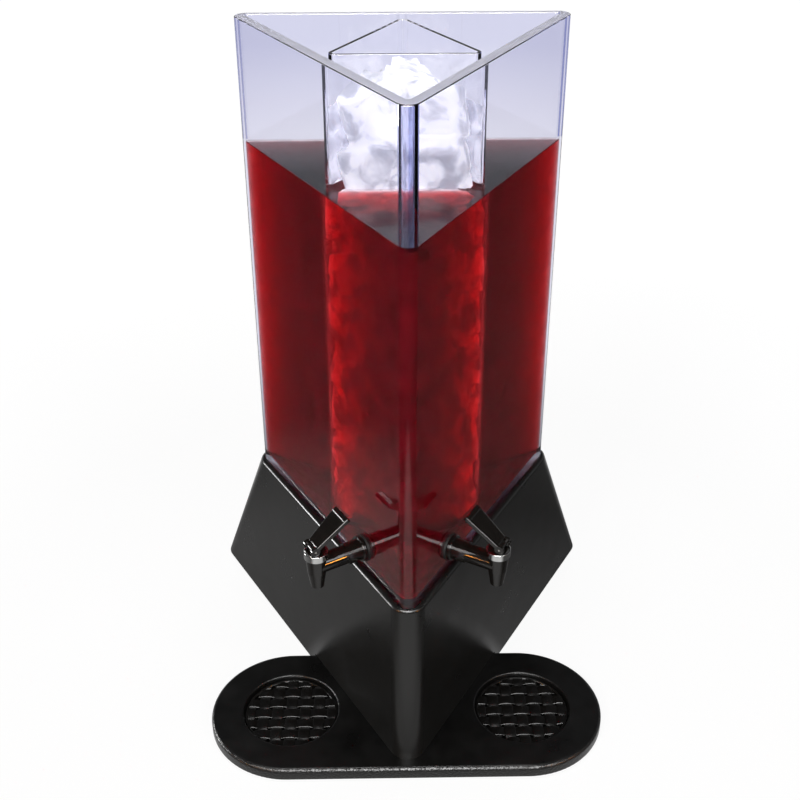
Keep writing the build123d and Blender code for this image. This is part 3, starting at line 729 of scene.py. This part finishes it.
# Drip grilles: strips woven over and under each other inside a rounded rim
grilleShape = {
    "pitch": 14.0 * mm,
    "strip": 11.0 * mm,
    "thick": 1.5 * mm,
    "base": 1.4 * mm,        # mat above the well's floor
    "rimWide": 3.0 * mm,
    "rimRound": 0.9 * mm,
    "rimSteps": 96,
    "stepsPerPitch": 8,
    "edgeRound": 0.7 * mm,
    "flatness": 0.6,         # below 1 the strips lie flat at each crossing
}


def stripSection(wide, thick, edge, steps=4):  # rounded oblong across a strip
    points = []
    for cx, cz, start in ((1, 1, 0), (-1, 1, 90), (-1, -1, 180), (1, -1, 270)):
        for i in range(steps + 1):
            angle = math.radians(start + 90 * i / steps)
            points.append((cx * (wide / 2 - edge) + edge * math.cos(angle),
                           cz * (thick / 2 - edge) + edge * math.sin(angle)))
    return points


def weaveGrille(side):
    shape = grilleShape
    low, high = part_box("drip_grille_" + side)
    centre = (low + high) / 2
    radius = (high.x - low.x) / 2
    matRadius = radius - shape["rimWide"] / 2
    middle = low.z + shape["base"] + (high.z - low.z - shape["base"]) / 2
    swing = (high.z - low.z - shape["base"] - shape["thick"]) / 2
    section = stripSection(shape["strip"], shape["thick"], shape["edgeRound"])
    bm = bmesh.new()
    count = int(matRadius / shape["pitch"])
    for along in (0, 1):
        for line in range(-count, count + 1):
            offset = line * shape["pitch"]
            reach = math.sqrt(matRadius ** 2 - offset ** 2)
            steps = int(2 * reach / shape["pitch"] * shape["stepsPerPitch"])
            rings = []
            for i in range(steps + 1):
                t = -reach + 2 * reach * i / steps
                wave = math.cos(math.pi * t / shape["pitch"] + math.pi * (line + along))
                lift = swing * math.copysign(abs(wave) ** shape["flatness"], wave)
                ring = []
                for across, up in section:
                    x, y = (t, offset + across) if along == 0 else (offset + across, t)
                    pull = min(1.0, matRadius / math.hypot(x, y))
                    ring.append(Vector((centre.x + x * pull, centre.y + y * pull, middle + lift + up)))
                rings.append(ring)
            made = stackLoops(bm, rings)
            bm.faces.new(made[0])
            bm.faces.new(made[-1])
    rim = stripSection(shape["rimWide"], high.z - low.z, shape["rimRound"])
    rings = []
    for i in range(shape["rimSteps"]):
        angle = 2 * math.pi * i / shape["rimSteps"]
        rings.append([Vector((centre.x + (matRadius + across) * math.cos(angle),
                              centre.y + (matRadius + across) * math.sin(angle),
                              centre.z + up)) for across, up in rim])
    made = stackLoops(bm, rings)
    for i in range(len(rim)):
        j = (i + 1) % len(rim)
        bm.faces.new((made[-1][i], made[-1][j], made[0][j], made[0][i]))
    grille = dress(finishMesh(bm, "wovenGrille_" + side), plastics["gloss ABS"])
    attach(grille, "grille_" + side)
    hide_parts("drip_grille_" + side)


for side in ("left", "right"):
    weaveGrille(side)
print("grilles woven")

# Stage: white floor under a dim studio, with softboxes low on the left, ahead and above
stageLook = {
    "floorSize": 16.0,           # metres
    "floor": ("#575757", "#5f5f5f"),
    "fibreSize": 300.0,          # mm
    "glow": (0.92, 1.0),         # white of the sheet near the object and far away
    "glowReach": (0.5, 1.5),     # metres from the middle
    "sheet": (0.0, 0.2),         # painted reflection: edge of the white that metal and gloss mirror, narrowing to the front
    "sheetSlant": 0.75,
    "paintedPool": (0.2, 0.0),          # painted reflection of a lit pool of floor round the foot, seen only by gloss, more of it on the left
    "paintedPoolPlace": (-0.12, 0.0, 0.0),
    "paintedPoolReach": (0.22, 0.45),
    "paintedCard": (0.75, 0.0),         # painted reflection of a white card on the floor ahead, seen only by gloss, mirrored by the collars
    "paintedCardPlace": (0.0, -0.48, 0.0),
    "paintedCardReach": (0.2, 0.34),
    "paintedSkirt": (0.8, 0.0),         # painted reflection of lit floor close to the tray, seen only by gloss, mirrored by its pebbled edge
    "paintedSkirtReach": (0.0, 0.03),   # metres from the tray
    "paintedGlassTint": ("#faf9ff", "#d4d5ea"),    # painted tint: floor as clear walls show it, near and far, lavender and darker far away
    "glassReach": (1.5, 2.4),
    "shade": (0.3, 1.0),         # painted shade: floor round the foot darker than far away, seen through glass
    "shadeReach": (0.3, 0.6),
    "paintedFlagWay": 0.47,             # painted dark reflection, standing in for flags out of view that the panes mirror: steps back per step aside
    "paintedFlagWidth": (0.34, 0.5),
    "paintedFlagReach": (1.5, 1.75),    # metres from the middle
    "skyHigh": "#3c3d40",
    "skyLow": "#c6c7ca",
    "skyFade": (0.1, 0.45),      # sine of the height where the glow on the horizon ends
    "skyGlass": ("#d2d3da", "#fdfdff"),    # surroundings that show through glass, above and low down
}


def floorInGloss(tree, place):  # painted reflections: the floor's light as metal and gloss mirror it
    look = stageLook
    parts = addNode(tree, "ShaderNodeSeparateXYZ", {}, {0: place})
    aside = addNode(tree, "ShaderNodeMath", {"operation": "ABSOLUTE"}, {0: parts.outputs["X"]})
    front = addNode(tree, "ShaderNodeMath", {"operation": "MULTIPLY_ADD"}, {
        0: aside.outputs[0], 1: -look["sheetSlant"], 2: parts.outputs["Y"]})
    mirrored = addNode(tree, "ShaderNodeMapRange", {}, {
        "Value": front.outputs[0], 1: look["sheet"][0], 2: look["sheet"][1], 3: 0.0, 4: 1.0})
    trayLow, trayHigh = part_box("drip_tray")
    trayRound = (trayHigh.y - trayLow.y) / 2
    past = addNode(tree, "ShaderNodeMath", {"operation": "SUBTRACT"}, {
        0: aside.outputs[0], 1: trayHigh.x - trayRound})
    beside = addNode(tree, "ShaderNodeMath", {"operation": "MAXIMUM"}, {0: past.outputs[0], 1: 0.0})
    ahead = addNode(tree, "ShaderNodeMath", {"operation": "SUBTRACT"}, {
        0: parts.outputs["Y"], 1: (trayHigh.y + trayLow.y) / 2})
    around = addNode(tree, "ShaderNodeCombineXYZ", {}, {0: beside.outputs[0], 1: ahead.outputs[0]})
    spots = {"paintedPool": (place, look["paintedPoolPlace"], 0.0), "paintedCard": (place, look["paintedCardPlace"], 0.0),
             "paintedSkirt": (around.outputs[0], (0, 0, 0), trayRound)}
    for name, (where, middle, start) in spots.items():
        away = addNode(tree, "ShaderNodeVectorMath", {"operation": "DISTANCE"}, {0: where, 1: middle})
        low, high = look[name + "Reach"]
        paintedSpot = addNode(tree, "ShaderNodeMapRange", {}, {
            "Value": away.outputs["Value"], 1: start + low, 2: start + high,
            3: look[name][0], 4: look[name][1]})
        mirrored = addNode(tree, "ShaderNodeMath", {"operation": "MAXIMUM"}, {
            0: mirrored.outputs[0], 1: paintedSpot.outputs[0]})
    return mirrored.outputs[0]


def floorInGlass(tree, place, away):  # painted shade: the floor's light as clear walls show it, darker round the foot and where the flags are painted
    look = stageLook
    parts = addNode(tree, "ShaderNodeSeparateXYZ", {}, {0: place})
    aside = addNode(tree, "ShaderNodeMath", {"operation": "ABSOLUTE"}, {0: parts.outputs["X"]})
    shade = addNode(tree, "ShaderNodeMapRange", {}, {
        "Value": away, 1: look["shadeReach"][0], 2: look["shadeReach"][1],
        3: look["shade"][0], 4: look["shade"][1]})
    slant = addNode(tree, "ShaderNodeMath", {"operation": "DIVIDE"}, {
        0: parts.outputs["Y"], 1: aside.outputs[0]})
    turn = addNode(tree, "ShaderNodeMath", {"operation": "SUBTRACT"}, {
        0: slant.outputs[0], 1: look["paintedFlagWay"]})
    offPaintedFlag = addNode(tree, "ShaderNodeMath", {"operation": "ABSOLUTE"}, {0: turn.outputs[0]})
    bare = addNode(tree, "ShaderNodeMapRange", {"interpolation_type": "SMOOTHSTEP"}, {
        "Value": offPaintedFlag.outputs[0], 1: look["paintedFlagWidth"][0], 2: look["paintedFlagWidth"][1], 3: 0.0, 4: 1.0})
    beyond = addNode(tree, "ShaderNodeMapRange", {}, {
        "Value": away, 1: look["paintedFlagReach"][0], 2: look["paintedFlagReach"][1], 3: 0.0, 4: 1.0})
    clear = addNode(tree, "ShaderNodeMath", {"operation": "MAXIMUM"}, {
        0: bare.outputs[0], 1: beyond.outputs[0]})
    through = addNode(tree, "ShaderNodeMath", {"operation": "MULTIPLY"}, {
        0: clear.outputs[0], 1: shade.outputs[0]})
    return through.outputs[0]


# Sweep paper: plain white to the eye, with painted reflections and painted shade where polished and clear
# pieces pick it up
def sweepPaper():
    look = stageLook
    material, tree, place = startMaterial("sweep paper")
    fibre = addNode(tree, "ShaderNodeTexNoise", {}, {
        "Vector": place, "Scale": perSize(look["fibreSize"]), "Detail": 2.0})
    colour = addNode(tree, "ShaderNodeMix", {"data_type": "RGBA"}, {
        0: fibre.outputs[0], 6: linear(look["floor"][0]), 7: linear(look["floor"][1])})
    paper = addNode(tree, "ShaderNodeBsdfDiffuse", {}, {"Color": colour.outputs[2]})
    span = addNode(tree, "ShaderNodeVectorMath", {"operation": "LENGTH"}, {0: place})
    away = span.outputs["Value"]
    glow = addNode(tree, "ShaderNodeMapRange", {}, {
        "Value": away, 1: look["glowReach"][0], 2: look["glowReach"][1],
        3: look["glow"][0], 4: look["glow"][1]})
    path = addNode(tree, "ShaderNodeLightPath")
    mixed = addNode(tree, "ShaderNodeMix", {"data_type": "FLOAT"}, {
        0: path.outputs["Is Transmission Ray"], 2: floorInGloss(tree, place),
        3: floorInGlass(tree, place, away)})
    bounced = addNode(tree, "ShaderNodeMath", {"operation": "MAXIMUM"}, {
        0: path.outputs["Is Glossy Ray"], 1: path.outputs["Is Transmission Ray"]})
    shown = addNode(tree, "ShaderNodeMath", {"operation": "MULTIPLY"}, {
        0: bounced.outputs[0], 1: mixed.outputs[0]})
    seen = addNode(tree, "ShaderNodeMath", {"operation": "MAXIMUM"}, {
        0: path.outputs["Is Camera Ray"], 1: shown.outputs[0]})
    strength = addNode(tree, "ShaderNodeMath", {"operation": "MULTIPLY"}, {
        0: seen.outputs[0], 1: glow.outputs[0]})
    # painted tint and shade: floor seen through glass turns lavender and darker far away
    far = addNode(tree, "ShaderNodeMapRange", {}, {
        "Value": away, 1: look["glassReach"][0], 2: look["glassReach"][1], 3: 0.0, 4: 1.0})
    haze = addNode(tree, "ShaderNodeMix", {"data_type": "RGBA"}, {
        0: far.outputs[0], 6: linear(look["paintedGlassTint"][0]), 7: linear(look["paintedGlassTint"][1])})
    tint = addNode(tree, "ShaderNodeMix", {"data_type": "RGBA"}, {
        0: path.outputs["Is Transmission Ray"], 6: (1, 1, 1, 1), 7: haze.outputs[2]})
    light = addNode(tree, "ShaderNodeEmission", {}, {
        "Color": tint.outputs[2], "Strength": strength.outputs[0]})
    both = addNode(tree, "ShaderNodeAddShader", {}, {0: paper.outputs[0], 1: light.outputs[0]})
    endMaterial(tree, both)
    return material


def layFloor():
    bm = bmesh.new()
    bmesh.ops.create_grid(bm, x_segments=2, y_segments=2, size=stageLook["floorSize"] / 2)
    floor = finishMesh(bm, "floor")
    dress(floor, sweepPaper())


def hangSky():
    look = stageLook
    world = bpy.data.worlds.new("studio")
    world.use_nodes = True
    tree = world.node_tree
    tree.nodes.clear()
    way = addNode(tree, "ShaderNodeTexCoord")
    parts = addNode(tree, "ShaderNodeSeparateXYZ", {}, {0: way.outputs["Generated"]})
    height = addNode(tree, "ShaderNodeMapRange", {"interpolation_type": "SMOOTHSTEP"}, {
        "Value": parts.outputs["Z"], 1: look["skyFade"][0], 2: look["skyFade"][1], 3: 0.0, 4: 1.0})
    colour = addNode(tree, "ShaderNodeMix", {"data_type": "RGBA"}, {
        0: height.outputs[0], 6: linear(look["skyLow"]), 7: linear(look["skyHigh"])})
    path = addNode(tree, "ShaderNodeLightPath")
    white = addNode(tree, "ShaderNodeMix", {"data_type": "RGBA"}, {
        0: height.outputs[0], 6: linear(look["skyGlass"][1]), 7: linear(look["skyGlass"][0])})
    shown = addNode(tree, "ShaderNodeMix", {"data_type": "RGBA"}, {
        0: path.outputs["Is Transmission Ray"], 6: colour.outputs[2], 7: white.outputs[2]})
    plain = addNode(tree, "ShaderNodeMix", {"data_type": "RGBA"}, {
        0: path.outputs["Is Camera Ray"], 6: shown.outputs[2], 7: (1, 1, 1, 1)})
    light = addNode(tree, "ShaderNodeBackground", {}, {"Color": plain.outputs[2]})
    addNode(tree, "ShaderNodeOutputWorld", {}, {"Surface": light.outputs[0]})
    bpy.context.scene.world = world


lamps = {
    "lowBox": {"place": (-1.75, 0.36, 0.25), "size": (0.42, 0.45), "power": 24.0, "tint": "#ffffff",
               "glintOnly": True},
    "keyBox": {"place": (-1.2, -1.9, 1.9), "size": (0.8, 0.8), "power": 30.0, "tint": "#fffaf4"},
    "fillBox": {"place": (1.5, -1.7, 1.6), "size": (0.8, 0.8), "power": 14.0, "tint": "#ffffff"},
    "topBox": {"place": (0.0, 0.1, 2.4), "size": (0.7, 0.5), "power": 16.0, "tint": "#ffffff"},
    "frontBox": {"place": (0.0, -2.0, 1.5), "size": (1.6, 1.0), "power": 110.0, "tint": "#ffffff",
                 "glintOnly": True},
    "warmRight": {"place": (1.25, -1.2, 0.4), "size": (0.08, 0.08), "power": 4.0, "tint": "#ff9d35",
                  "glintOnly": True},
    "warmLeft": {"place": (-1.25, -1.2, 0.4), "size": (0.08, 0.08), "power": 4.0, "tint": "#ff9d35",
                 "glintOnly": True},
}
lampAim = Vector((0, 0, 0.35))


def hangLamps():
    for name, lamp in lamps.items():
        data = bpy.data.lights.new(name, "AREA")
        data.shape = "RECTANGLE"
        data.size, data.size_y = lamp["size"]
        data.energy = lamp["power"]
        data.color = linear(lamp["tint"])[:3]
        obj = linkObject(name, data)
        obj.visible_diffuse = not lamp.get("glintOnly", False)
        obj.visible_transmission = False     # no lamp shows through the clear walls
        obj.location = lamp["place"]
        obj.rotation_euler = (Vector(lamp["place"]) - lampAim).to_track_quat("Z", "Y").to_euler()


layFloor()
hangSky()
hangLamps()
print("stage set")

# Camera: where the photograph was taken from
cameraSettings = {
    "place": (-0.0181, -1.0095, 0.9350),
    "yaw": -0.79,            # degrees, from looking along +Y
    "pitch": 31.57,          # degrees below level
    "roll": -0.18,
    "focalPixels": 1230.8,
    "framePixels": 800,
    "sensor": 36.0,          # mm
}


def placeCamera():
    look = cameraSettings
    camera = linkObject("camera", bpy.data.cameras.new("camera"))
    camera.data.sensor_width = look["sensor"]
    camera.data.lens = look["sensor"] * look["focalPixels"] / look["framePixels"]
    turn = Matrix.Rotation(math.radians(look["yaw"]), 4, "Z")
    tip = Matrix.Rotation(math.radians(90 - look["pitch"]), 4, "X")
    spin = Matrix.Rotation(math.radians(look["roll"]), 4, "Z")
    camera.matrix_world = Matrix.Translation(look["place"]) @ turn @ tip @ spin
    bpy.context.scene.camera = camera


placeCamera()
scene = bpy.context.scene
scene.view_settings.view_transform = "Standard"
# Light passes many clear walls in a row
rayLimits = {"max_bounces": 32, "transmission_bounces": 28, "glossy_bounces": 8}
for name, limit in rayLimits.items():
    setattr(scene.cycles, name, limit)
print("camera placed")
